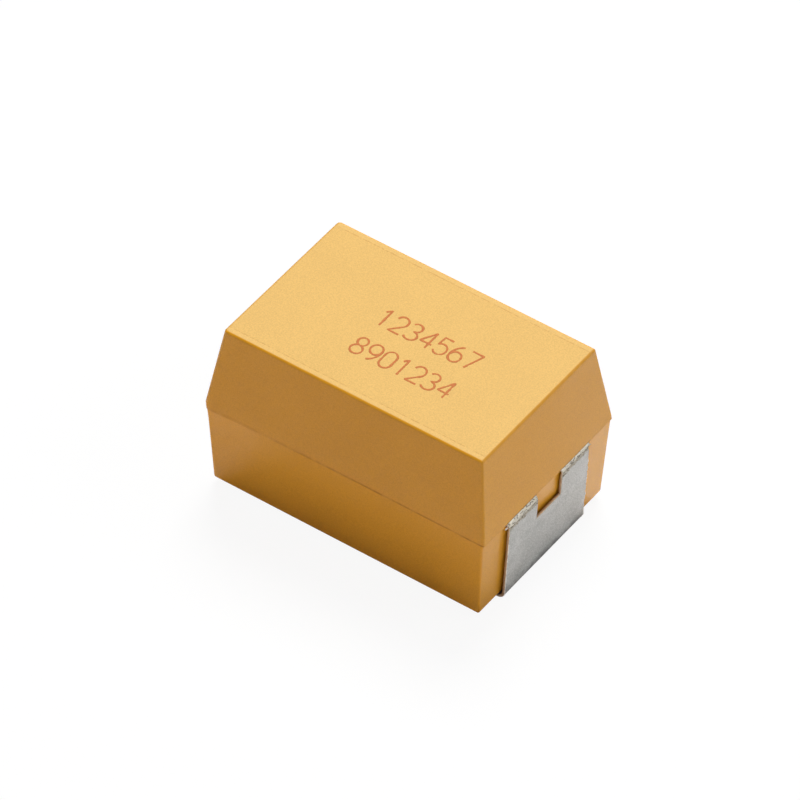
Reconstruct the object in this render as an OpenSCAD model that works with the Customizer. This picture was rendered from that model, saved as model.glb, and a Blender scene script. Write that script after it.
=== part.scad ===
// Moulded stack capacitor: ceramic chips stacked on each other, soldered between two
// folded lead frames and moulded in epoxy resin. Sizes are in millimetres. The origin
// lies on the seating plane under the middle of the case, +X runs along it, +Z is up.

/* [Ceramic chips] */
// Number of chips in the stack
chip_count = 4; // [2:2:6]
// Length of a chip over its end caps
chip_length = 5.7; // [4.5:0.1:8]
// Width of a chip over its end caps
chip_width = 5; // [4:0.1:6.5]
// Thickness of a chip over its end caps
chip_thickness = 1.15; // [0.8:0.05:1.6]
// Radius of the tumbled edges of the ceramic
chip_edge_radius = 0.12; // [0.05:0.01:0.25]

/* [End caps] */
// Length of the cap's band along the chip
cap_band = 0.75; // [0.4:0.05:1.2]
// Thickness of the cap over the end of the ceramic
cap_end_thickness = 0.06; // [0.03:0.01:0.12]
// Thickness of the cap's band round the ceramic
cap_band_thickness = 0.04; // [0.02:0.01:0.1]

/* [Solder] */
// Thickness of the solder between a cap and a finger
solder_thickness = 0.05; // [0.02:0.01:0.12]
// Width of the solder that shows round a finger
solder_rim = 0.1; // [0:0.01:0.2]

/* [Lead frames] */
// Thickness of the sheet
sheet_thickness = 0.1; // [0.08:0.01:0.2]
// Distance from the side of a chip to the edge of the lead
lead_setback = 0.34; // [0.2:0.02:0.8]
// Width of the sheared ear on each side of the lead where it leaves the case
ear_width = 0.13; // [0.02:0.01:0.25]
// Depth of the sheet below the parting plane
lead_drop = 0.04; // [0:0.01:0.1]
// Straight length outside the case before the shoulder bend
exit_length = 0.02; // [0.02:0.01:0.3]
// Inner radius of the shoulder bend
shoulder_radius = 0.03; // [0.03:0.01:0.3]
// Inward lean of the lead's face, in degrees
face_lean = 2.4; // [0:0.1:2.7]
// Inner radius of the bend above the foot
foot_radius = 0.2; // [0.05:0.01:0.4]
// Length of the foot, from the end of the lead
foot_length = 1.8; // [1:0.1:2.4]
// Width of the notch that parts the two legs
notch_width = 1.32; // [0.6:0.01:1.6]
// Depth of the notch below the parting plane
notch_depth = 1.12; // [0.5:0.02:1.6]
// Reach of the notch into the resin, where it locks the lead
notch_reach = 0.9; // [0.3:0.05:1.4]

/* [Inner fingers] */
// Width of the middle finger, which is bent up
finger_width = 1.5; // [0.8:0.05:1.8]
// Width of the slit on each side of the middle finger
slit_width = 0.2; // [0.1:0.01:0.4]
// Inner radius of the finger bends
finger_radius = 0.12; // [0.05:0.01:0.3]
// Distance from the tip of a finger to the end of the stack
finger_tip_gap = 0.35; // [0.2:0.05:0.6]

/* [Moulded case] */
// Resin beyond each end of the chips, at the parting plane
end_cover = 2.4; // [2:0.05:3.2]
// Resin beyond each side of the chips, at the parting plane
side_cover = 0.96; // [0.8:0.02:1.6]
// Resin above the stack
top_cover = 0.71; // [0.5:0.01:1.5]
// Resin below the stack
bottom_cover = 0.94; // [0.5:0.02:1.5]
// Draft of the upper half, in degrees
upper_draft = 8.3; // [3:0.1:10]
// Draft of the lower half, in degrees
lower_draft = 2.8; // [2.8:0.1:5]
// Distance that the ends of the lower half are set in at the parting plane
end_step = 0.07; // [0.02:0.01:0.15]
// Distance that the sides of the lower half are set in at the parting plane
side_step = 0.01; // [0.01:0.01:0.1]
// Radius of the edges round the top and the bottom
edge_radius = 0.1; // [0.04:0.01:0.3]
// Radius of the standing corners
corner_radius = 0.12; // [0.04:0.01:0.3]
// Clearance between the bottom of the case and the feet
foot_clearance = 0.1; // [0.01:0.01:0.2]

/* [Hidden] */
$fn = 48;
ENDS = ["left", "right"];

// Heights above the seating plane
stack_height = chip_count * chip_thickness;
case_bottom = sheet_thickness + foot_clearance;
stack_bottom = case_bottom + bottom_cover;
parting = stack_bottom + stack_height / 2;
stack_top = stack_bottom + stack_height;
upper_height = stack_height / 2 + top_cover;
lower_height = stack_height / 2 + bottom_cover;

// Plan of the case at the parting plane
case_length = chip_length + 2 * end_cover;
case_width = chip_width + 2 * side_cover;

// Lead frame, drawn on the right-hand end as [x, z]
lead_width = chip_width - 2 * lead_setback;
exit_width = lead_width + 2 * ear_width;
lead_top = parting - lead_drop;
wall = case_length / 2 - end_step;
shoulder = [wall + exit_length, lead_top - sheet_thickness - shoulder_radius];
foot_bend_height = foot_radius + sheet_thickness;
radius_change = shoulder_radius - foot_radius;
face_length = (shoulder.y - radius_change * sin(face_lean) - foot_bend_height) / cos(face_lean);
foot_bend = shoulder + [
    radius_change * cos(face_lean) - face_length * sin(face_lean),
    -radius_change * sin(face_lean) - face_length * cos(face_lean)
];
lead_end = shoulder.x + shoulder_radius + sheet_thickness;
finger_face = chip_length / 2 + solder_thickness;
finger_bend = finger_face + sheet_thickness + finger_radius;
side_finger_width = (lead_width - finger_width) / 2 - slit_width;
side_finger_middle = (lead_width - side_finger_width) / 2;

// Small overlap that keeps cutting faces apart
overlap = 0.5;

// Drawing in [x, z], spread over a width along Y
module spread(width, middle = 0) {
    translate([0, middle, 0])
        rotate([90, 0, 0])
            linear_extrude(width, center = true) children();
}

module rounded_rectangle(width, height, radius) {
    square([width - 2 * radius, height], center = true);
    square([width, height - 2 * radius], center = true);
    for (x = [-1, 1], y = [-1, 1])
        translate([x * (width / 2 - radius), y * (height / 2 - radius)])
            circle(radius);
}

// Block with all its edges rounded
module rounded_block(size, radius) {
    intersection() {
        linear_extrude(size.z, center = true)
            rounded_rectangle(size.x, size.y, radius);
        rotate([90, 0, 0])
            linear_extrude(size.y, center = true)
                rounded_rectangle(size.x, size.z, radius);
        rotate([90, 0, 90])
            linear_extrude(size.x, center = true)
                rounded_rectangle(size.y, size.z, radius);
    }
}

// Sheet bent round an inner radius, from one angle to another
module bend(radius, from, to) {
    reach = 2 * (radius + sheet_thickness);
    middle = (from + to) / 2;
    intersection() {
        difference() {
            circle(radius + sheet_thickness);
            circle(radius);
        }
        polygon([
            [0, 0],
            reach * [cos(from), sin(from)],
            reach * [cos(middle), sin(middle)],
            reach * [cos(to), sin(to)]
        ]);
    }
}

// Right-hand piece, mirrored for the left-hand end
module at_end(end) {
    if (end == "left")
        mirror([1, 0, 0]) children();
    else
        children();
}

// Outline of a wall-to-wall section: a base, two leaning sides and a top with round edges
module drafted_section(base, height, draft) {
    half_top = base / 2 - height * tan(draft);
    centre = [half_top - edge_radius / tan(45 + draft / 2), height - edge_radius];
    tangent = centre + edge_radius * [cos(draft), sin(draft)];
    polygon([
        [-base / 2, 0],
        [base / 2, 0],
        tangent,
        [centre.x, height],
        [-centre.x, height],
        [-tangent.x, tangent.y]
    ]);
    for (x = [-1, 1])
        translate([x * centre.x, centre.y]) circle(edge_radius);
}

// Waste outside one round standing corner, along an edge that leans inward both ways
module corner_waste(height, draft) {
    lean = atan(sqrt(2) * tan(draft));
    half_angle = acos(pow(sin(draft), 2)) / 2;
    centre = -corner_radius / cos(half_angle);
    side = corner_radius * sin(half_angle);
    flat = centre + corner_radius * cos(half_angle);
    rotate([0, -lean, 0])
        translate([0, 0, -overlap])
            linear_extrude(height / cos(lean) + 2 * overlap)
                difference() {
                    polygon([
                        [flat, side],
                        [flat + overlap * cos(half_angle), side + overlap * sin(half_angle)],
                        [flat + overlap * cos(half_angle), -side - overlap * sin(half_angle)],
                        [flat, -side]
                    ]);
                    translate([centre, 0]) circle(corner_radius);
                }
}

// Half of the case, from its parting plane up
module case_half(length, width, height, draft) {
    difference() {
        intersection() {
            spread(width) drafted_section(length, height, draft);
            rotate([90, 0, 90])
                linear_extrude(length, center = true) drafted_section(width, height, draft);
        }
        for (x = [-1, 1], y = [-1, 1])
            translate([x * length / 2, y * width / 2, 0])
                rotate([0, 0, atan2(y, x)])
                    corner_waste(height, draft);
    }
}

module case_outside() {
    translate([0, 0, parting]) {
        case_half(case_length, case_width, upper_height, upper_draft);
        mirror([0, 0, 1])
            case_half(case_length - 2 * end_step, case_width - 2 * side_step, lower_height, lower_draft);
    }
}

function chip_middle(i) = stack_bottom + (i - 0.5) * chip_thickness;

module ceramic_block(i) {
    translate([0, 0, chip_middle(i)])
        rounded_block(
            [
                chip_length - 2 * cap_end_thickness,
                chip_width - 2 * cap_band_thickness,
                chip_thickness - 2 * cap_band_thickness
            ],
            chip_edge_radius
        );
}

// Outside of one end cap, not yet hollowed for the ceramic
module cap_blank(i, end) {
    at_end(end)
        intersection() {
            translate([0, 0, chip_middle(i)])
                rounded_block([chip_length, chip_width, chip_thickness], chip_edge_radius + cap_band_thickness);
            translate([chip_length / 2 - cap_band, -chip_width, 0])
                cube([2 * cap_band, 2 * chip_width, 2 * stack_top]);
        }
}

module ceramic_chip(i) {
    color("tan") ceramic_block(i);
}

module end_cap(i, end) {
    color("lightgray")
        difference() {
            cap_blank(i, end);
            ceramic_block(i);
        }
}

// Fingers of a lead frame as [middle along Y, width, 1 for up or -1 for down]
fingers = [
    [0, finger_width, 1],
    [-side_finger_middle, side_finger_width, -1],
    [side_finger_middle, side_finger_width, -1]
];

// Flat length of a finger, from the end of its bend to its tip
function finger_length(turn) =
    stack_height / 2 + turn * lead_drop - finger_tip_gap - finger_radius - (turn < 0 ? sheet_thickness : 0);

// Drawing of a finger that is bent up, turned over the sheet for one that is bent down
module turned(turn) {
    if (turn < 0)
        translate([0, 2 * lead_top - sheet_thickness]) mirror([0, 1]) children();
    else
        children();
}

module finger(middle, width, turn) {
    spread(width, middle)
        turned(turn) {
            translate([finger_bend, lead_top + finger_radius])
                bend(finger_radius, 180, 270);
            translate([finger_face, lead_top + finger_radius])
                square([sheet_thickness, finger_length(turn)]);
        }
}

module solder_pad(middle, width, turn) {
    spread(width + 2 * solder_rim, middle)
        turned(turn)
            translate([chip_length / 2, lead_top + finger_radius])
                square([solder_thickness, finger_length(turn) + solder_rim]);
}

// Space that the fold wraps: under the run, behind the face and above the foot. Grown by the
// thickness of the sheet, it reaches the outside of the fold.
module wrapped_space(from, growth) {
    shoulder_reach = shoulder_radius + growth;
    foot_reach = foot_radius + growth;
    outward = [cos(face_lean), -sin(face_lean)];
    polygon([
        [from, foot_bend.y - foot_reach],
        [foot_bend.x, foot_bend.y - foot_reach],
        foot_bend + foot_reach * outward,
        shoulder + shoulder_reach * outward,
        [shoulder.x, shoulder.y + shoulder_reach],
        [from, shoulder.y + shoulder_reach]
    ]);
    translate(shoulder) circle(shoulder_reach);
    translate(foot_bend) circle(foot_reach);
}

// Sheet that runs out through the wall of the case, hangs down its end and turns in under it
module folded_sheet() {
    spread(exit_width)
        difference() {
            wrapped_space(finger_bend, sheet_thickness);
            wrapped_space(finger_bend - overlap, 0);
        }
}

// Waste beside the two legs, below the ears
module side_waste() {
    for (side = [-1, 1])
        translate([0, side * (lead_width + overlap) / 2, (shoulder.y - overlap) / 2])
            cube([2 * case_length, overlap, shoulder.y + overlap], center = true);
}

// Waste beyond the tip of the foot
module tip_waste() {
    translate([0, -case_width / 2, -overlap])
        cube([lead_end - foot_length, case_width, foot_bend_height + overlap]);
}

module notch() {
    translate([wall - notch_reach, -notch_width / 2, parting - notch_depth])
        cube([notch_reach + lead_end, notch_width, notch_depth + overlap]);
}

module lead(end) {
    color("silver")
        at_end(end) {
            difference() {
                folded_sheet();
                side_waste();
                tip_waste();
                notch();
            }
            for (f = fingers)
                finger(f[0], f[1], f[2]);
        }
}

module solder(end) {
    color("gray")
        at_end(end)
            for (f = fingers)
                solder_pad(f[0], f[1], f[2]);
}

// Resin round the stack: the outside of the moulding less everything set in it
module moulded_case() {
    color("goldenrod")
        difference() {
            case_outside();
            for (i = [1:chip_count]) {
                ceramic_block(i);
                for (end = ENDS)
                    cap_blank(i, end);
            }
            for (end = ENDS) {
                lead(end);
                solder(end);
            }
        }
}

moulded_case();
for (end = ENDS) {
    lead(end);
    solder(end);
}
for (i = [1:chip_count]) {
    ceramic_chip(i);
    for (end = ENDS)
        end_cap(i, end);
}
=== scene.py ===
import math

import bmesh
import bpy
from mathutils import Matrix, Vector, noise


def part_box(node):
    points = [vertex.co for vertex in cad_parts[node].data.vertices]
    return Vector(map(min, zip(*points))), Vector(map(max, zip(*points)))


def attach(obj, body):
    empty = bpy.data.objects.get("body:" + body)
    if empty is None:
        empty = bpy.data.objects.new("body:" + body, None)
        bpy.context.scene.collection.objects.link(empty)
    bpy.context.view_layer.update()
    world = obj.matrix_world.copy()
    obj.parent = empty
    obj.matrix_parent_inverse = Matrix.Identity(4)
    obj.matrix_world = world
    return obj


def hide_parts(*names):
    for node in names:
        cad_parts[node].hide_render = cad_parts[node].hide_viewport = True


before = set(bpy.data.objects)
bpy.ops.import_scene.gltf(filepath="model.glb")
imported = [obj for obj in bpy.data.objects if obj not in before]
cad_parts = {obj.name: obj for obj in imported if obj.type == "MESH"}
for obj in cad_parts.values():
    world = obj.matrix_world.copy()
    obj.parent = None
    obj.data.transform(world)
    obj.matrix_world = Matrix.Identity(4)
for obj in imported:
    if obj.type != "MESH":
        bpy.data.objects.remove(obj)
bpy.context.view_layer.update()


# Ceramic chips. Each is one fired block of thin ceramic and metal layers, tumbled so that its edges
# are round. The four lie on each other in the middle of the part, out of sight in the resin.
class Wire:
    """A socket in a node tree. Sums of wires and numbers add Math nodes to that tree."""

    def __init__(self, tree, socket=None):
        self.tree = tree
        self.socket = socket

    def node(self, kind, settings, inputs, output=0):
        """Adds a node: its settings first, then the values or wires of its sockets."""
        made = self.tree.nodes.new(kind)
        for name, value in settings.items():
            setattr(made, name, value)
        for key, value in inputs.items():
            if isinstance(value, Wire):
                self.tree.links.new(value.socket, made.inputs[key])
            else:
                made.inputs[key].default_value = value
        return Wire(self.tree, made.outputs[output]) if made.outputs else None

    def math(self, operation, *values):
        """One Math node on the given wires and numbers."""
        return self.node("ShaderNodeMath", {"operation": operation}, dict(enumerate(values)))

    def __add__(self, other):
        return self.math("ADD", self, other)

    def __radd__(self, other):
        return self.math("ADD", other, self)

    def __sub__(self, other):
        return self.math("SUBTRACT", self, other)

    def __rsub__(self, other):
        return self.math("SUBTRACT", other, self)

    def __mul__(self, other):
        return self.math("MULTIPLY", self, other)

    def __rmul__(self, other):
        return self.math("MULTIPLY", other, self)

    def __abs__(self):
        return self.math("ABSOLUTE", self)

    def at_least(self, other):
        """The larger of this and another value."""
        return self.math("MAXIMUM", self, other)

    def at_most(self, other):
        """The smaller of this and another value."""
        return self.math("MINIMUM", self, other)

    def part(self, axis):
        """One coordinate of a vector."""
        return self.node("ShaderNodeSeparateXYZ", {}, {"Vector": self}, axis)

    def rise(self, low, high):
        """0 below low, 1 above high and a smooth step between them."""
        return self.node(
            "ShaderNodeMapRange",
            {"interpolation_type": "SMOOTHSTEP"},
            {"Value": self, "From Min": low, "From Max": high},
        )

    def mottle(self, size, detail=2.0):
        """Cloudy noise whose patches are about as wide as size."""
        return self.node(
            "ShaderNodeTexNoise",
            {},
            {"Vector": self, "Scale": 1 / size, "Detail": detail, "Roughness": 0.6},
        )

    def between(self, first, second):
        """The first colour where this is 0, the second where it is 1. Each is a wire or red, green, blue."""
        colours = [colour if isinstance(colour, Wire) else (*colour, 1) for colour in (first, second)]
        # The node's colour sockets go by number, because its other kinds of socket share their names.
        sockets = {"Factor": self, 6: colours[0], 7: colours[1]}
        return self.node("ShaderNodeMix", {"data_type": "RGBA"}, sockets, 2)


mm = 0.001


def open_finish(name):
    """A new material, and the wire of its Object coordinates."""
    material = bpy.data.materials.new(name)
    material.use_nodes = True
    material.node_tree.nodes.clear()
    position = Wire(material.node_tree).node("ShaderNodeTexCoord", {}, {}, "Object")
    return material, position


def close_finish(position, colour, roughness, height, depth, **others):
    """Joins colour, roughness, a relief of the given depth and any other named sockets to a shader."""
    normal = position.node("ShaderNodeBump", {}, {"Height": height, "Distance": depth})
    inputs = {"Base Color": colour, "Roughness": roughness, "Normal": normal}
    inputs.update({name.replace("_", " "): value for name, value in others.items()})
    shader = position.node("ShaderNodeBsdfPrincipled", {}, inputs)
    position.node("ShaderNodeOutputMaterial", {}, {"Surface": shader})


def dress(node, material):
    """Gives a solid of the frame its material."""
    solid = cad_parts[node].data
    solid.materials.clear()
    solid.materials.append(material)


chip_count = 4
ceramic_dark = (0.20, 0.12, 0.075)
ceramic_pale = (0.36, 0.24, 0.15)


def ceramic_finish():
    """Brown ceramic, cloudy and finely grained."""
    material, position = open_finish("fired_ceramic")
    clouds = position.mottle(0.9 * mm)
    grain = position.mottle(0.03 * mm, 4.0)
    shade = clouds * 0.5 + grain * 0.5
    colour = shade.between(ceramic_dark, ceramic_pale)
    close_finish(position, colour, 0.45 + grain * 0.2, grain, 0.002 * mm)
    return material


fired_ceramic = ceramic_finish()
for number in range(1, chip_count + 1):
    dress(f"ceramic_chip_{number}", fired_ceramic)


# End caps. Copper paste is fired on each end of a chip and plated with nickel and matt tin, so that
# the cap wraps the end and a short band of each side.
def plating_finish(name, dark, bright, grain_size, relief, metal=0.85):
    """Matt tin: fine crystals that differ a little in shade and in gloss."""
    material, position = open_finish(name)
    crystals = position.mottle(grain_size, 3.0)
    clouds = position.mottle(20 * grain_size)
    shade = crystals * 0.65 + clouds * 0.35
    colour = shade.between(dark, bright)
    close_finish(position, colour, 0.42 + crystals * 0.25, crystals, relief, Metallic=metal)
    return material


ends = {"left": -1, "right": 1}
cap_tin = plating_finish(
    "cap_tin", (0.34, 0.34, 0.33), (0.52, 0.52, 0.51), grain_size=0.03 * mm, relief=0.003 * mm
)
for number in range(1, chip_count + 1):
    for end in ends:
        dress(f"end_cap_{number}_{end}", cap_tin)


# Solder. A thin film of tin alloy on each finger of the leads, melted between the finger and the end
# caps, so that it holds the stack and joins it to the lead.
solder_alloy = plating_finish(
    "solder_alloy", (0.40, 0.40, 0.41), (0.60, 0.60, 0.61), grain_size=0.08 * mm, relief=0.004 * mm
)
for end in ends:
    dress(f"solder_{end}", solder_alloy)


# Lead frames. Each is one strip of tinned copper, stamped and folded. Three fingers hold the stack, the
# sheet leaves the case under its parting edge, and a notch parts it into two legs above the foot.
class Fold:
    """The middle of a folded sheet, drawn in [x, z] as a turtle walks it."""

    def __init__(self, x, z, heading):
        self.at = [(x, z, heading)]

    def go(self, length, turn=0.0, steps=1):
        """Walks on by a length in even steps, and turns by an angle on the way."""
        for _ in range(steps):
            x, z, heading = self.at[-1]
            half = turn / steps / 2
            chord = length / steps * (math.sin(half) / half if half else 1)
            heading += half
            self.at.append((x + chord * math.cos(heading), z + chord * math.sin(heading), heading + half))


def divided(lines, step):
    """The lines, with more between them where they lie further apart than step."""
    places = [lines[0]]
    for low, high in zip(lines, lines[1:]):
        count = max(1, math.ceil((high - low) / step - 1e-6))
        places += [low + (high - low) * (i + 1) / count for i in range(count)]
    return places


def add_sheet(bm, fold, lines, thickness, kept):
    """Adds a folded sheet to bm, made of the cells that are kept. Its cut walls get material 1."""
    made = {}

    def corner(i, j, side):
        if (i, j, side) not in made:
            x, z, heading = fold.at[i]
            out = side * thickness / 2
            made[i, j, side] = bm.verts.new((
                x - out * math.sin(heading), lines[j], z + out * math.cos(heading)
            ))
        return made[i, j, side]

    middles = [(low + high) / 2 for low, high in zip(lines, lines[1:])]
    rows = range(len(fold.at) - 1)
    cells = {(i, j) for i in rows for j, middle in enumerate(middles) if kept(i, middle)}
    for i, j in sorted(cells):
        ring = ((i, j), (i + 1, j), (i + 1, j + 1), (i, j + 1))
        for side in (1, -1):
            bm.faces.new([corner(*place, side) for place in ring[::side]])
        beside = ((i, j - 1), (i + 1, j), (i, j + 1), (i - 1, j))
        for k, neighbour in enumerate(beside):
            if neighbour not in cells:
                first, second = ring[k], ring[(k + 1) % 4]
                wall_face = bm.faces.new((
                    corner(*first, -1), corner(*second, -1), corner(*second, 1), corner(*first, 1)
                ))
                wall_face.material_index = 1


def bead_nodes():
    """Nodes that lay an uneven bead of round section along the edges of a mesh."""
    tree = bpy.data.node_groups.new("bead_along_path", "GeometryNodeTree")
    sizes = ("Spacing", "Radius", "Unevenness", "Grain", "Seed", "Flatness", "Lift")
    sockets = {"Path": "Geometry", "Material": "Material", **dict.fromkeys(sizes, "Float")}
    for name, kind in sockets.items():
        tree.interface.new_socket(name, in_out="INPUT", socket_type=f"NodeSocket{kind}")
    tree.interface.new_socket("Bead", in_out="OUTPUT", socket_type="NodeSocketGeometry")
    given_node = tree.nodes.new("NodeGroupInput")
    given = {name: Wire(tree, given_node.outputs[name]) for name in sockets}
    path = Wire(tree)
    line = path.node("GeometryNodeMeshToCurve", {}, {"Mesh": given["Path"]})
    line = path.node(
        "GeometryNodeResampleCurve", {"mode": "LENGTH"}, {"Curve": line, "Length": given["Spacing"]}
    )
    place = path.node("GeometryNodeInputPosition", {}, {})
    rough = path.node(
        "ShaderNodeTexNoise",
        {"noise_dimensions": "4D"},
        {"Vector": place, "W": given["Seed"], "Scale": given["Grain"], "Detail": 2.0},
    )
    swell = (1 + given["Unevenness"] * (rough * 4 - 2)).at_least(0.1)
    round_section = path.node("GeometryNodeCurvePrimitiveCircle", {}, {"Resolution": 8, "Radius": 1.0})
    bead = path.node(
        "GeometryNodeCurveToMesh",
        {},
        {"Curve": line, "Profile Curve": round_section, "Scale": swell * given["Radius"], "Fill Caps": True},
    )
    lift = path.node("ShaderNodeCombineXYZ", {}, {"Z": given["Lift"]})
    flatness = path.node("ShaderNodeCombineXYZ", {}, {"X": 1.0, "Y": 1.0, "Z": given["Flatness"]})
    bead = path.node(
        "GeometryNodeTransform", {}, {"Geometry": bead, "Translation": lift, "Scale": flatness}
    )
    bead = path.node("GeometryNodeSetShadeSmooth", {}, {"Geometry": bead})
    bead = path.node("GeometryNodeRealizeInstances", {}, {"Geometry": bead})
    bead = path.node("GeometryNodeSetMaterial", {}, {"Geometry": bead, "Material": given["Material"]})
    path.node("NodeGroupOutput", {}, {"Bead": bead})
    return tree


bead_along_path = bead_nodes()


def bead(paths, material, radius, spacing, unevenness, grain, seed, flatness=1.0, lift=0.0):
    """A plain mesh of beads along paths of points. Flat ones are drawn at z 0 and lifted to their place."""
    points = [point for path in paths for point in path]
    links, first = [], 0
    for path in paths:
        links += [(first + i, first + i + 1) for i in range(len(path) - 1)]
        first += len(path)
    mesh = bpy.data.meshes.new("path")
    mesh.from_pydata(points, links, [])
    drawn = bpy.data.objects.new("path", mesh)
    bpy.context.scene.collection.objects.link(drawn)
    modifier = drawn.modifiers.new("bead", "NODES")
    modifier.node_group = bead_along_path
    values = {
        "Material": material, "Spacing": spacing, "Radius": radius, "Unevenness": unevenness,
        "Grain": 1 / grain, "Seed": seed, "Flatness": flatness, "Lift": lift,
    }
    for socket in bead_along_path.interface.items_tree:
        if socket.name in values:
            modifier[socket.identifier] = values[socket.name]
    made = bpy.data.meshes.new_from_object(drawn.evaluated_get(bpy.context.evaluated_depsgraph_get()))
    bpy.data.objects.remove(drawn)
    return made


def add_mesh(bm, mesh, material_index):
    """Adds the mesh to bm, all in one of its materials."""
    before = len(bm.faces)
    bm.from_mesh(mesh)
    bm.faces.ensure_lookup_table()
    for face in bm.faces[before:]:
        face.material_index = material_index
        face.smooth = True


def add_piece(name, bm, materials, stands_for):
    """Makes bm the piece of that name, in place of a CAD node if one is named."""
    mesh = bpy.data.meshes.new(name)
    bm.to_mesh(mesh)
    bm.free()
    for material in materials:
        mesh.materials.append(material)
    piece = bpy.data.objects.new(name, mesh)
    bpy.context.scene.collection.objects.link(piece)
    if stands_for:
        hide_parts(stands_for)
    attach(piece, "root")


def step_up(low, high, value):
    """0 below low, 1 above high and a smooth step between them."""
    share = min(1.0, max(0.0, (value - low) / (high - low)))
    return share * share * (3 - 2 * share)


case_low, case_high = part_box("moulded_case")
chip_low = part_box("ceramic_chip_1")[0]
chip_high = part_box(f"ceramic_chip_{chip_count}")[1]
parting = (chip_low.z + chip_high.z) / 2

# The sheet and its folds, from the fingers out to the foot.
sheet = 0.10 * mm
end_step = 0.07 * mm
lead_drop = 0.04 * mm
exit_length = 0.02 * mm
shoulder_radius = 0.03 * mm
foot_radius = 0.20 * mm
foot_length = 1.80 * mm
lean = math.radians(2.4)
lead_top = parting - lead_drop
wall = case_high.x - end_step
shoulder_x = wall + exit_length
shoulder_z = lead_top - sheet - shoulder_radius
lead_end = shoulder_x + shoulder_radius + sheet
radius_change = shoulder_radius - foot_radius
face_length = (shoulder_z - radius_change * math.sin(lean) - foot_radius - sheet) / math.cos(lean)
foot_bend_x = shoulder_x + radius_change * math.cos(lean) - face_length * math.sin(lean)

# The blank across its width: ears inside the wall, then the face with its notch.
lead_width = 4.32 * mm
ear_width = 0.13 * mm
notch_width = 1.32 * mm
notch_depth = 1.06 * mm
notch_reach = 0.90 * mm
side_y = lead_width / 2
ear_y = side_y + ear_width
notch_y = notch_width / 2
line_spacing = 0.05 * mm

# The fingers: where each stands across the lead, its width, and the way that it turns at its root.
finger_gap = 0.05 * mm
finger_radius = 0.12 * mm
finger_tip_gap = 0.35 * mm
finger_spacing = 0.3 * mm
outer_finger_y = 1.555 * mm
outer_finger_width = 1.21 * mm
middle_finger_width = 1.50 * mm
upwards, downwards = -1, 1
fingers = (
    (0.0, middle_finger_width, upwards),
    (-outer_finger_y, outer_finger_width, downwards),
    (outer_finger_y, outer_finger_width, downwards),
)
finger_bend_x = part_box("end_cap_1_right")[1].x + finger_gap + sheet + finger_radius

# Wear of stamping and folding. The sheet is drawn in so that its waves stay within the solid's box.
sharp_angle = 0.9
shear_radius = 0.010 * mm
torn_share = 0.75
torn_height = 0.11 * mm
short_cut = 0.075 * mm
crushed_length = 0.28 * mm
crushed_height = 0.375 * mm
crushed_blur = 0.05 * mm
crushed_slope = 0.028
crushed_depth = 0.014 * mm
dent_depth = 0.020 * mm
wave_depth = 0.002 * mm
draw_in = 0.006 * mm
burr_back = 0.008 * mm
smear_length = 0.08 * mm


def wear_lead(bm, seed):
    """Tears the ears back, cuts the back edge short, crushes the bend and makes the faces a little wavy."""
    for vert in bm.verts:
        past_edge = abs(vert.co.y) - side_y
        if past_edge > 0 and vert.co.x > wall:
            torn = torn_share * step_up(lead_top - torn_height, lead_top, vert.co.z)
            vert.co.y -= math.copysign(past_edge * torn, vert.co.y)
        if vert.co.x > wall or vert.co.z < foot_radius:
            vert.co.y -= short_cut * step_up(0, side_y, vert.co.y)
        place = vert.co / mm + Vector((seed, 0, 0))
        tilted = vert.co.z - vert.co.y * crushed_slope
        crushed = step_up(parting - crushed_height, parting - crushed_height + crushed_blur, tilted)
        crushed *= step_up(wall, shoulder_x, vert.co.x)
        dent = noise.noise(place * 7) + 0.7 * noise.noise(place * 16)
        wave = noise.noise(place * 1.3)
        out = wave_depth * wave - draw_in + crushed * (dent_depth * dent - crushed_depth)
        vert.co += vert.normal * out


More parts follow.
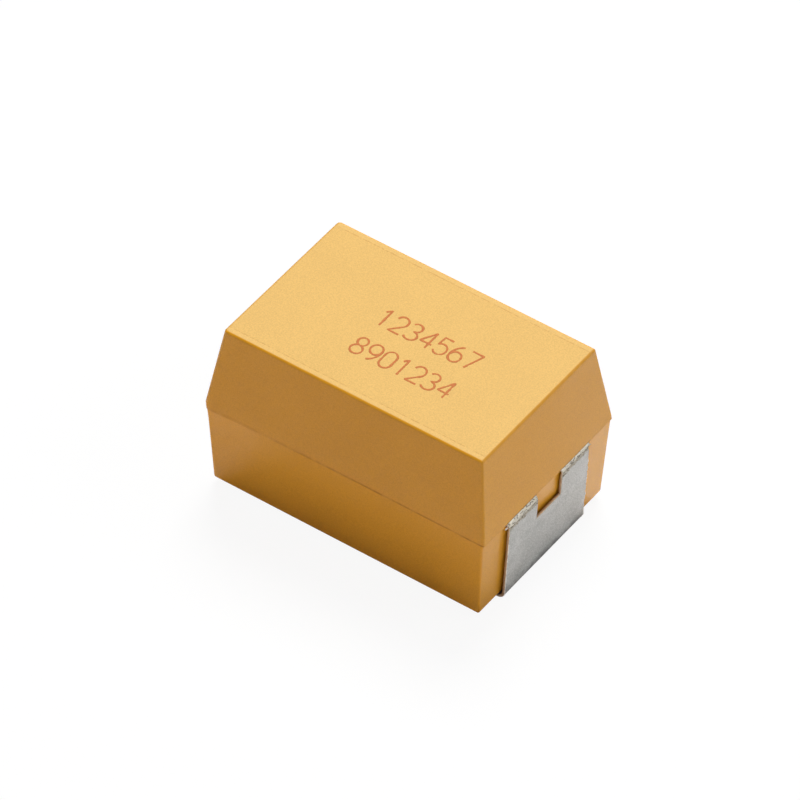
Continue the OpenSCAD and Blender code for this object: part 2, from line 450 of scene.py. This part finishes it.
def lead_mesh(seed):
    """The right-hand lead: sheet, notch, ears and fingers, with sheared edges and a crushed bend."""
    bm = bmesh.new()
    turn = math.pi / 2 + lean
    notch_start = wall - notch_reach
    leg_length = (shoulder_z - parting + notch_depth) / math.cos(lean)
    fold = Fold(finger_bend_x, lead_top - sheet / 2, 0.0)
    fold.go(notch_start - finger_bend_x, steps=6)
    notch_row = len(fold.at) - 1
    fold.go(shoulder_x - notch_start, steps=6)
    fold.go((shoulder_radius + sheet / 2) * turn, -turn, steps=10)
    face_row = len(fold.at) - 1
    fold.go(crushed_length, steps=12)
    fold.go(leg_length - crushed_length, steps=14)
    crotch_row = len(fold.at) - 1
    fold.go(face_length - leg_length, steps=34)
    fold.go((foot_radius + sheet / 2) * (math.pi - turn), turn - math.pi, steps=12)
    fold.go(foot_bend_x - lead_end + foot_length, steps=16)

    def in_blank(row, y):
        if notch_row <= row < crotch_row and abs(y) < notch_y:
            return False
        return abs(y) < (ear_y if row < face_row else side_y)

    lines = divided([-ear_y, -side_y, -notch_y, notch_y, side_y, ear_y], line_spacing)
    add_sheet(bm, fold, lines, sheet, in_blank)
    for middle, width, way in fingers:
        finger = Fold(finger_bend_x + sheet / 2, lead_top - sheet / 2, math.pi)
        finger.go(sheet / 2)
        finger.go((finger_radius + sheet / 2) * math.pi / 2, way * math.pi / 2, steps=8)
        reach = chip_high.z - lead_top if way == upwards else lead_top - sheet - chip_low.z
        finger.go(reach - finger_tip_gap - finger_radius, steps=6)
        sides = divided([middle - width / 2, middle + width / 2], finger_spacing)
        add_sheet(bm, finger, sides, sheet, lambda row, y: True)

    sheared = [edge for edge in bm.edges if edge.calc_face_angle(0) > sharp_angle]
    bmesh.ops.bevel(
        bm, geom=sheared, offset=shear_radius, segments=2, profile=0.5, affect="EDGES", clamp_overlap=True
    )
    bm.normal_update()
    wear_lead(bm, seed)
    for face in bm.faces:
        face.smooth = True

    # Burrs run down both edges, from under the crushed bend to halfway round the bend of the foot. Their
    # near-white colour is a painted glint where their edges catch the light.
    out = sheet / 2
    outside = [(x - out * math.sin(heading), z + out * math.cos(heading)) for x, z, heading in fold.at]
    first_row, last_row = face_row + 16, len(fold.at) - 22
    burrs = [
        [(x - burr_back, y, z) for x, z in outside[first_row:last_row]]
        for y in (-side_y, side_y - short_cut)
    ]
    burr = bead(
        burrs, burr_painted_glint, radius=0.013 * mm, spacing=0.03 * mm, unevenness=1.6,
        grain=0.16 * mm, seed=seed,
    )
    add_mesh(bm, burr, 2)
    x, z = outside[face_row]
    tip = (x - 0.05 * mm, -ear_y - smear_length, z + 0.03 * mm)
    root = (x - 0.03 * mm, -side_y, z)
    smear = bead(
        [[tip, root]], burr_painted_glint, radius=0.020 * mm, spacing=0.03 * mm, unevenness=0.6,
        grain=0.09 * mm, seed=seed,
    )
    add_mesh(bm, smear, 2)
    return bm


tin_dark = (0.408, 0.406, 0.389)
tin_bright = (0.590, 0.586, 0.570)
crushed_tin = (0.405, 0.364, 0.286)
smoothed_tin = (0.635, 0.600, 0.515)
crack_brown = (0.10, 0.08, 0.05)
# This grey, between the two heights further down, is painted shade above the foot of the lead.
foot_shade_colour = (0.19, 0.19, 0.195)
smoothed_height = 0.235 * mm
smoothed_blur = 0.03 * mm
crease_height = 0.21 * mm
crack_spacing = 0.09 * mm
foot_shade_from = 0.50 * mm
foot_shade_to = 1.00 * mm


def lead_tin_finish():
    """Matt tin that is glossier and cracked where the bend crushed it, with painted shade above the foot."""
    material, position = open_finish("lead_tin")
    crystals = position.mottle(0.05 * mm, 3.0)
    clouds = position.mottle(0.7 * mm)
    height = position.part("Z")
    drawn_out = position.node(
        "ShaderNodeVectorMath", {"operation": "MULTIPLY"}, {0: position, 1: (1, 0.5, 1)}
    )
    flakes = drawn_out.mottle(0.08 * mm)
    ragged = height - position.part("Y") * crushed_slope + (flakes - 0.5) * 0.2 * mm
    crushed = ragged.rise(parting - crushed_height, parting - crushed_height + crushed_blur)
    smoothed = ragged.rise(parting - smoothed_height, parting - smoothed_height + smoothed_blur)
    crease = 1 - abs(ragged - (parting - crease_height)).rise(0.015 * mm, 0.045 * mm)
    cells = position.node(
        "ShaderNodeTexVoronoi",
        {"feature": "DISTANCE_TO_EDGE"},
        {"Vector": drawn_out, "Scale": 1 / crack_spacing},
    )
    cracks = crushed * (1 - cells.rise(0.05, 0.17)) * flakes.rise(0.50, 0.54)
    cracks = cracks.at_least(crease * flakes.rise(0.44, 0.52))
    # Painted shade: the tin darkens towards the foot along an uneven edge, where the bend turns down to the
    # floor in the part's shadow.
    foot_shade_wobble = position.mottle(0.3 * mm)
    foot_shade_share = 1 - (height + foot_shade_wobble * 0.8 * mm).rise(foot_shade_from, foot_shade_to)
    shade = crystals * 0.75 + clouds * 0.25
    colour = shade.rise(0.36, 0.64).between(tin_dark, tin_bright)
    colour = (crushed * 0.9).between(colour, crushed_tin)
    colour = (smoothed * 0.95).between(colour, smoothed_tin)
    colour = (cracks * 0.82).between(colour, crack_brown)
    colour = (foot_shade_share * 0.8).between(colour, foot_shade_colour)
    roughness = 0.48 + crystals * 0.2 - smoothed * 0.12
    relief = crystals + crushed * (cells * 6 + crystals - cracks)
    close_finish(position, colour, roughness, relief, 0.004 * mm, Metallic=0.85)
    return material


copper_dark = (0.57, 0.415, 0.28)
copper_pale = (0.79, 0.62, 0.45)
smeared_tin = (0.76, 0.66, 0.52)


def bare_copper_finish():
    """Copper that the shears laid bare, with tin smeared over parts of it."""
    material, position = open_finish("bare_copper")
    smears = position.mottle(0.12 * mm, 3.0)
    grain = position.mottle(0.02 * mm)
    colour = grain.between(copper_dark, copper_pale)
    colour = (smears.rise(0.45, 0.62) * 0.7).between(colour, smeared_tin)
    close_finish(position, colour, 0.45 + grain * 0.25, smears + grain, 0.004 * mm, Metallic=0.3)
    return material


lead_tin = lead_tin_finish()
bare_copper = bare_copper_finish()
# Painted glint: the burrs and the smear are tin drawn near white, so that they shine like edges that catch
# the light.
burr_painted_glint = plating_finish(
    "burr_painted_glint", (0.86, 0.83, 0.75), (1.0, 0.98, 0.92), grain_size=0.04 * mm, relief=0.003 * mm, metal=0.0
)
for end, side in ends.items():
    lead = lead_mesh(3.0 + side)
    if side < 0:
        bmesh.ops.scale(lead, vec=(-1, 1, 1), verts=lead.verts)
        bmesh.ops.reverse_faces(lead, faces=lead.faces)
    add_piece(f"folded_lead_{end}", lead, (lead_tin, bare_copper, burr_painted_glint), f"lead_{end}")


# Moulded case. Filled epoxy resin, pressed round the stack in a two-part mould. Each half tapers away
# from the parting edge, the lower one is set in a little, and thin flash is left where the halves met.
side_step = 0.01 * mm
upper_draft = math.radians(8.3)
lower_draft = math.radians(2.8)
edge_radius = 0.10 * mm
corner_radius = 0.07 * mm
least_radius = 0.012 * mm
corner_steps = 6
fillet_steps = 8
skin_depth = 0.004 * mm
top = case_high.z - skin_depth
insert_line = 2.78 * mm
notch_flash = 0.55 * mm

# A place is on an end of the case, not on a side, where it is further out in x than in y by this.
long_over_wide = case_high.x - case_high.y

# Rings of points lie close together near an edge and further apart along a flat.
near_edge = 0.03 * mm
near_lip = 0.04 * mm
side_spacing = 0.1 * mm
ring_spacing = 0.4 * mm

# Wear of the corners and of the parting edge, which is worst at the left front corner.
worn_left = 0.07 * mm
worn_low = 0.03 * mm
worn_lip = 0.06 * mm
worn_along = 1.6 * mm
worn_across = 1.5 * mm
lip_wear = 0.006 * mm
low_shift = 0.037 * mm
sag_all_round = 0.05 * mm
sag_left = 0.08 * mm
sag_back = 0.02 * mm
sag_uneven = 0.03 * mm
sag_worn = 0.08 * mm
sag_fade = 0.6 * mm


def shares(length):
    """Places along a straight side, as shares of it, close together at its two ends."""
    lines = [near_edge, 4 * near_edge, length - 4 * near_edge, length - near_edge]
    return [place / length for place in divided(lines, side_spacing)]


long_shares = shares(case_high.x - case_low.x)
short_shares = shares(case_high.y - case_low.y)


def case_ring(half_x, half_y, radius, worn, z, rim):
    """Points round the case at one height, each with how much of it is a rounded edge."""
    corners = []
    for number, (way_x, way_y) in enumerate(((1, -1), (1, 1), (-1, 1), (-1, -1))):
        turn = radius + (0.0 if way_x > 0 else worn)
        middle = Vector((way_x * (half_x - turn), way_y * (half_y - turn), z))
        corner = []
        for step in range(corner_steps + 1):
            angle = math.pi / 2 * (number - 1 + step / corner_steps)
            point = middle + turn * Vector((math.cos(angle), math.sin(angle), 0))
            corner.append((point, max(rim, 0.4 * math.sin(math.pi * step / corner_steps))))
        corners.append(corner)
    points = []
    for number, corner in enumerate(corners):
        start, end = corner[-1][0], corners[(number + 1) % 4][0][0]
        points += corner
        side_shares = long_shares if number % 2 else short_shares
        points += [(start.lerp(end, share), rim) for share in side_shares]
    return points


def half_rings(half_x, half_y, height, draft, way):
    """Rings of one half of the case, from the parting plane to the middle of its flat face."""
    tangent = height - edge_radius * (1 - math.sin(draft))
    worn = worn_left if way > 0 else worn_low
    rings = []
    for rise in divided([0, near_lip, tangent - near_edge, tangent], ring_spacing):
        inset = rise * math.tan(draft)
        z = parting + way * rise
        rings.append(case_ring(half_x - inset, half_y - inset, corner_radius, worn, z, 0.0))
    corner_inset = height * math.tan(draft) + edge_radius / math.tan(math.pi / 4 + draft / 2)
    for step in range(1, fillet_steps + 1):
        angle = draft + (math.pi / 2 - draft) * step / fillet_steps
        inset = corner_inset - edge_radius * math.cos(angle)
        radius = max(least_radius, corner_radius - edge_radius * (math.cos(draft) - math.cos(angle)))
        z = parting + way * (height - edge_radius * (1 - math.sin(angle)))
        rim = math.sin(math.pi * step / fillet_steps)
        rings.append(case_ring(half_x - inset, half_y - inset, radius, worn, z, rim))
    inset = corner_inset + near_edge
    flat = case_ring(half_x - inset, half_y - inset, least_radius, worn, parting + way * height, 0.0)
    rings.append([(point, 0.0) for point, _ in flat])
    return rings


def near_worn_corner(point):
    """1 at the left front corner of the case, falling to 0 along both sides of it."""
    along = step_up(case_low.x, case_low.x + worn_along, point.x)
    return (1 - along) * (1 - step_up(case_low.y, case_low.y + worn_across, point.y))


def sag_at(point):
    """How far the parting edge hangs down: more towards the left, and at the back of the right end."""
    to_left = 1 - step_up(-4.5 * mm, 1.5 * mm, point.x)
    to_back = step_up(-2.0 * mm, 3.2 * mm, point.y) * step_up(3.0 * mm, 5.0 * mm, point.x)
    sag = sag_all_round + sag_left * to_left + sag_back * to_back
    return sag + sag_uneven * noise.noise(point / mm * 0.9) + sag_worn * near_worn_corner(point)


def wear_parting(lower, lip):
    """Moves the lower half's right end out at the back, then lets the parting edge sag and wears its lip."""
    low_points = [point for ring in lower for point, _ in ring]
    for point in low_points:
        if point.x > 0:
            point.x += low_shift * step_up(-1.0 * mm, 3.0 * mm, point.y)
    for point in low_points + lip:
        point.z -= sag_at(point) * max(0.0, 1 - (parting - point.z) / sag_fade)
    for point in lip:
        if abs(point.x) - abs(point.y) > long_over_wide - 0.01 * mm:
            point.x += math.copysign((parting - point.z) * math.tan(upper_draft), point.x)
        inward = Vector((-point.x, -point.y, 0)).normalized()
        wear = 0.5 + 0.5 * noise.noise(point / mm * 5)
        point += inward * lip_wear * wear
        point.x += worn_lip * near_worn_corner(point)


def add_skin(bm, lower, upper):
    """Joins the rings into a closed skin, and marks its rounded edges and its seam for the finish."""
    rim_layer = bm.verts.layers.float.new("rim")
    seam_layer = bm.verts.layers.float.new("seam")
    rows = []
    for ring in lower[::-1] + upper:
        row = []
        for point, rim in ring:
            vert = bm.verts.new(point)
            vert[rim_layer] = rim
            row.append(vert)
        rows.append(row)
    for low, high in zip(rows, rows[1:]):
        for i in range(len(low)):
            k = (i + 1) % len(low)
            bm.faces.new((low[i], low[k], high[k], high[i])).smooth = True
    bm.faces.new(rows[0][::-1])
    bm.faces.new(rows[-1])
    for row in rows[len(lower) - 1:len(lower) + 1]:
        for i, vert in enumerate(row):
            vert[seam_layer] = 1.0
            bm.edges.get((vert, row[(i + 1) % len(row)])).smooth = False


def add_flash(bm, lip):
    """Adds flash along the lip, a curtain of it in each notch, and the lines of the mould's insert."""
    # The flash lies in a little from the lip, so that its lumps stay within the case.
    edge = [(point.x * 0.9995, point.y * 0.9985, point.z) for point in lip]
    flash = bead(
        [edge + edge[:1]], moulded_epoxy, radius=0.0025 * mm, spacing=0.03 * mm, unevenness=0.8,
        grain=0.15 * mm, seed=1.0,
    )
    add_mesh(bm, flash, 0)
    curtain_x = wall + 0.045 * mm
    curtains = [
        [(side * curtain_x, -notch_flash, 0), (side * curtain_x, notch_flash, 0)] for side in (-1, 1)
    ]
    curtain = bead(
        curtains, moulded_epoxy, radius=0.011 * mm, spacing=0.03 * mm, unevenness=0.7,
        grain=0.2 * mm, seed=2.0, lift=parting - 0.030 * mm,
    )
    add_mesh(bm, curtain, 0)
    length = case_high.x - math.tan(upper_draft) * (case_high.z - parting) - edge_radius
    lines = [[(-length, side * insert_line, 0), (length, side * insert_line, 0)] for side in (-1, 1)]
    insert_seam = bead(
        lines, moulded_epoxy, radius=0.0045 * mm, spacing=0.05 * mm, unevenness=0.9,
        grain=0.12 * mm, seed=3.0, flatness=0.25, lift=top,
    )
    add_mesh(bm, insert_seam, 0)


def case_mesh():
    """The outside of the case, with uneven edges at its parting plane and flash along them."""
    upper = half_rings(case_high.x, case_high.y, top - parting, upper_draft, 1)
    lower = half_rings(
        case_high.x - end_step, case_high.y - side_step, parting - case_low.z, lower_draft, -1
    )
    lip = [point for point, _ in upper[0]]
    wear_parting(lower, lip)
    bm = bmesh.new()
    add_skin(bm, lower, upper)
    add_flash(bm, lip)
    return bm


# One resin in three copies tuned to the light: deeper amber on the sides as painted shade, yellower on the
# ends as painted light, paler on the top as painted sheen.
side_resin_painted_shade = ((0.713, 0.301, 0.025), (0.811, 0.355, 0.032))
end_resin_painted_light = ((0.710, 0.316, 0.023), (0.810, 0.373, 0.028))
top_resin_painted_sheen = ((0.669, 0.405, 0.102), (0.797, 0.487, 0.130))
top_margin = (0.90, 0.60, 0.22)
mineral_spot = (0.42, 0.20, 0.04)
scored_brown = (0.46, 0.19, 0.02)
# Rounded edges: painted light on the sides' edges, painted shade on the ends'.
side_rim_painted_light = (0.82, 0.355, 0.012)
end_rim_painted_shade = (0.63, 0.285, 0.020)
# Painted shadow of the lip along the parting.
seam_painted_shadow = (0.44, 0.135, 0.002)
lead_shadow = (0.16, 0.09, 0.015)
spot_spacing = 0.22 * mm
corner_blur = 0.03 * mm


def epoxy_finish():
    """Golden resin full of fine mineral, with painted light and shade on the rounded edges and a painted
    shadow along the parting.
    """
    material, position = open_finish("moulded_epoxy")
    grain = position.mottle(0.045 * mm)
    clouds = position.mottle(1.8 * mm)
    spots = position.node("ShaderNodeTexVoronoi", {}, {"Vector": position, "Scale": 1 / spot_spacing})
    rim, seam = [
        position.node("ShaderNodeAttribute", {"attribute_name": name}, {}, "Fac") for name in ("rim", "seam")
    ]
    along = position.part("X")
    across = position.part("Y")
    height = position.part("Z")
    aside = abs(across)
    at_end = (abs(along) - aside).rise(long_over_wide - corner_blur, long_over_wide + corner_blur)
    on_top = height.rise(case_high.z - 0.02 * mm, case_high.z - 0.01 * mm)

    shade = (grain * 0.85 + clouds * 0.15).rise(0.3, 0.7)
    # Painted light and shade: each face takes its own copy of the resin colour, and the top's paler copy is
    # a painted sheen.
    colour = at_end.between(shade.between(*side_resin_painted_shade), shade.between(*end_resin_painted_light))
    colour = on_top.between(colour, shade.between(*top_resin_painted_sheen))
    colour = ((1 - spots.rise(0.05, 0.16)) * 0.15).between(colour, mineral_spot)

    past_line = aside - insert_line
    colour = (on_top * past_line.rise(0, 0.02 * mm) * 0.13).between(colour, top_margin)
    dashes = position.mottle(0.15 * mm).rise(0.4, 0.6)
    scored = on_top * (1 - abs(past_line).rise(0.010 * mm, 0.022 * mm)) * dashes
    colour = (scored * 0.45).between(colour, scored_brown)
    # Painted light and shade on the rounded edges: brighter, richer amber on the sides' edges, darker amber
    # on the ends'.
    colour = rim.rise(0.2, 0.9).between(colour, at_end.between(side_rim_painted_light, end_rim_painted_shade))

    # Painted shadow under the lip: an uneven dark line along the parting, strongest on the sides and towards
    # the right, weak on the ends.
    flecks = position.mottle(0.5 * mm)
    seam_shadow_share = seam.rise(0.0, 0.8) * (1 - at_end * 0.85) * (0.3 + flecks.rise(0.35, 0.65) * 0.6)
    seam_shadow_share = seam_shadow_share * (0.35 + along.rise(-3.0 * mm, 1.0 * mm) * 0.65)
    colour = seam_shadow_share.between(colour, seam_painted_shadow)
    over_lead = at_end * aside.rise(notch_y - 0.05 * mm, notch_y) * (1 - aside.rise(side_y, ear_y))
    colour = (over_lead * seam.rise(0.5, 1.0) * 0.85).between(colour, lead_shadow)

    roughness = 0.18 + grain * 0.08 + on_top * 0.25
    polish = at_end * (1 - on_top) * (0.11 + across.rise(-1.5 * mm, case_high.y) * 0.22)
    close_finish(
        position, colour, roughness, grain * (0.2 + on_top), 0.004 * mm,
        Specular_IOR_Level=0.2, Coat_Weight=polish, Coat_Roughness=0.2,
    )
    return material


moulded_epoxy = epoxy_finish()
add_piece("moulded_block", case_mesh(), (moulded_epoxy,), "moulded_case")


# Marking. Two rows of plain figures on the top, in strokes of browned resin. A laser burns each stroke
# in one pass, so its width is a little uneven and it stands hardly above the skin.
def arc(x, y, wide, tall, start, end):
    """Points on an oval, from one angle to another in degrees."""
    count = max(2, round(abs(end - start) / 15))
    angles = [math.radians(start + (end - start) * i / count) for i in range(count + 1)]
    return [(x + wide * math.cos(angle), y + tall * math.sin(angle)) for angle in angles]


# Each figure's strokes, in a square from 0 to 1.
six = arc(0.9, 0.35, 0.9, 0.65, 105, 180) + arc(0.5, 0.3, 0.5, 0.3, 180, 540)
strokes = {
    "0": [arc(0.5, 0.7, 0.5, 0.3, 0, 180) + arc(0.5, 0.3, 0.5, 0.3, 180, 360) + [(1, 0.7)]],
    "1": [[(0.2, 0.8), (0.55, 1), (0.55, 0)]],
    "2": [arc(0.5, 0.7, 0.5, 0.3, 165, -40) + [(0, 0), (1, 0)]],
    "3": [arc(0.46, 0.76, 0.44, 0.24, 150, -90) + arc(0.46, 0.26, 0.54, 0.26, 90, -150)],
    "4": [[(0.75, 0), (0.75, 1), (0, 0.3), (1, 0.3)]],
    "5": [[(0.9, 1), (0.15, 1)] + arc(0.47, 0.32, 0.53, 0.32, 140, -150)],
    "6": [six],
    "7": [[(0, 1), (1, 1), (0.35, 0)]],
    "8": [arc(0.5, 0.76, 0.42, 0.24, -90, 270), arc(0.5, 0.26, 0.5, 0.26, 90, 450)],
    "9": [[(1 - x, 1 - y) for x, y in six]],
}
figure_width = 0.41 * mm
figure_height = 0.75 * mm
figure_pitch = 0.535 * mm

# Each row by the place where its first figure stands.
rows_of_figures = {(-1.34 * mm, -0.04 * mm): "1234567", (-1.28 * mm, -1.49 * mm): "8901234"}
burnt_dark = (0.47, 0.120, 0.016)
burnt_pale = (0.63, 0.190, 0.032)


def marking_mesh():
    """Flat beads along the strokes of all the figures, half sunk in the top of the case."""
    lines = []
    for (left, foot), figures in rows_of_figures.items():
        for place, figure in enumerate(figures):
            x = left + place * figure_pitch
            lines += [
                [(x + across * figure_width, foot + up * figure_height, 0) for across, up in stroke]
                for stroke in strokes[figure]
            ]
    bm = bmesh.new()
    burnt = bead(
        lines, burnt_resin, radius=0.0365 * mm, spacing=0.03 * mm, unevenness=0.35,
        grain=0.14 * mm, seed=4.0, flatness=0.07, lift=top,
    )
    add_mesh(bm, burnt, 0)
    return bm


def burnt_resin_finish():
    """Resin that the laser browned, dull and finely grained."""
    material, position = open_finish("burnt_resin")
    grain = position.mottle(0.05 * mm, 3.0)
    colour = grain.rise(0.3, 0.7).between(burnt_dark, burnt_pale)
    close_finish(position, colour, 0.6 + grain * 0.2, grain, 0.003 * mm)
    return material


burnt_resin = burnt_resin_finish()
add_piece("marking", marking_mesh(), (burnt_resin,), None)


# Floor, background and light: a white floor before a white background, under three soft lamps. The
# strong one is high behind the part on its left, a weak one at the right, and the weakest low in front.
def white_to_camera(tree, lit, to_camera, to_gloss):
    """Mixes a lit shader with white, by shares for camera rays and for glossy and glass ones."""
    rays = [
        Wire(tree).node("ShaderNodeLightPath", {}, {}, ray)
        for ray in ("Is Camera Ray", "Is Glossy Ray", "Is Transmission Ray")
    ]
    seen = (rays[0] * to_camera + rays[1] * to_gloss + rays[2] * to_gloss).at_most(1.0)
    white = seen.node("ShaderNodeEmission", {}, {"Color": (1, 1, 1, 1), "Strength": 1.0})
    return seen.node("ShaderNodeMixShader", {}, {0: seen, 1: lit, 2: white})


floor_size = 3.0
floor_mesh = bpy.data.meshes.new("floor")
corners = [(x * floor_size / 2, y * floor_size / 2, 0) for x, y in ((-1, -1), (1, -1), (1, 1), (-1, 1))]
floor_mesh.from_pydata(corners, [], [(0, 1, 2, 3)])
floor = bpy.data.objects.new("floor", floor_mesh)
bpy.context.scene.collection.objects.link(floor)
floor_paper = bpy.data.materials.new("floor_paper")
floor_paper.use_nodes = True
floor_tree = floor_paper.node_tree
floor_tree.nodes.clear()
floor_lit = Wire(floor_tree).node("ShaderNodeBsdfDiffuse", {}, {"Color": (0.95, 0.95, 0.95, 1)})
floor_white = white_to_camera(floor_tree, floor_lit, to_camera=0.92, to_gloss=0.0)
floor_white.node("ShaderNodeOutputMaterial", {}, {"Surface": floor_white})
floor_mesh.materials.append(floor_paper)

world = bpy.data.worlds.new("studio")
bpy.context.scene.world = world
world.use_nodes = True
world.node_tree.nodes.clear()
ambient = Wire(world.node_tree).node("ShaderNodeBackground", {}, {"Color": (0.12, 0.12, 0.12, 1)})
backdrop = white_to_camera(world.node_tree, ambient, to_camera=1.0, to_gloss=0.6)
backdrop.node("ShaderNodeOutputWorld", {}, {"Surface": backdrop})

lamp_distance = 0.60


def away_from_part(azimuth, elevation):
    """The direction from the part to a place. Azimuth turns from -Y towards +X."""
    return Vector((
        math.sin(azimuth) * math.cos(elevation),
        -math.cos(azimuth) * math.cos(elevation),
        math.sin(elevation),
    ))


def soft_lamp(name, azimuth, elevation, size, strength):
    """A square lamp that faces the part. A white surface that faces it is lit to its strength."""
    lamp = bpy.data.lights.new(name, "AREA")
    lamp.size = size
    lamp.energy = strength * math.pi**2 * lamp_distance**2
    away = away_from_part(math.radians(azimuth), math.radians(elevation))
    made = bpy.data.objects.new(name, lamp)
    made.location = away * lamp_distance
    made.rotation_euler = away.to_track_quat("Z", "Y").to_euler()
    made.visible_camera = False
    bpy.context.scene.collection.objects.link(made)


soft_lamp("lamp_behind", azimuth=205, elevation=61, size=0.24, strength=1.02)
soft_lamp("lamp_right", azimuth=120, elevation=42, size=0.30, strength=0.22)
soft_lamp("lamp_front", azimuth=-15, elevation=8, size=0.30, strength=0.09)


# Camera, as the photograph was taken: a long lens a quarter of a metre away at the front right, which
# looks down at about 45 degrees. It stands a little aside, so that look_at falls on middle_pixel.
camera_azimuth = math.radians(34.49)
camera_elevation = math.radians(44.74)
camera_roll = math.radians(1.16)
camera_distance = 238.5 * mm
focal_pixels = 7761.0
photo_pixels = 800.0
middle_pixel = (408.0, 412.4)
look_at = Vector((0, 0, 3.31 * mm))

back = away_from_part(camera_azimuth, camera_elevation)
level = Vector((math.cos(camera_azimuth), math.sin(camera_azimuth), 0))
upright = back.cross(level)
right = level * math.cos(camera_roll) + upright * math.sin(camera_roll)
up = upright * math.cos(camera_roll) - level * math.sin(camera_roll)
pixel = camera_distance / focal_pixels
shift = right * (photo_pixels / 2 - middle_pixel[0]) * pixel
shift += up * (middle_pixel[1] - photo_pixels / 2) * pixel

lens = bpy.data.cameras.new("camera")
lens.sensor_width = 36.0
lens.lens = focal_pixels / photo_pixels * lens.sensor_width
lens.clip_start = 0.01
camera = bpy.data.objects.new("camera", lens)
turned = Matrix((right, up, back)).transposed().to_4x4()
camera.matrix_world = Matrix.Translation(look_at + shift + back * camera_distance) @ turned
bpy.context.scene.collection.objects.link(camera)
bpy.context.scene.camera = camera
bpy.context.scene.view_settings.view_transform = "Standard"
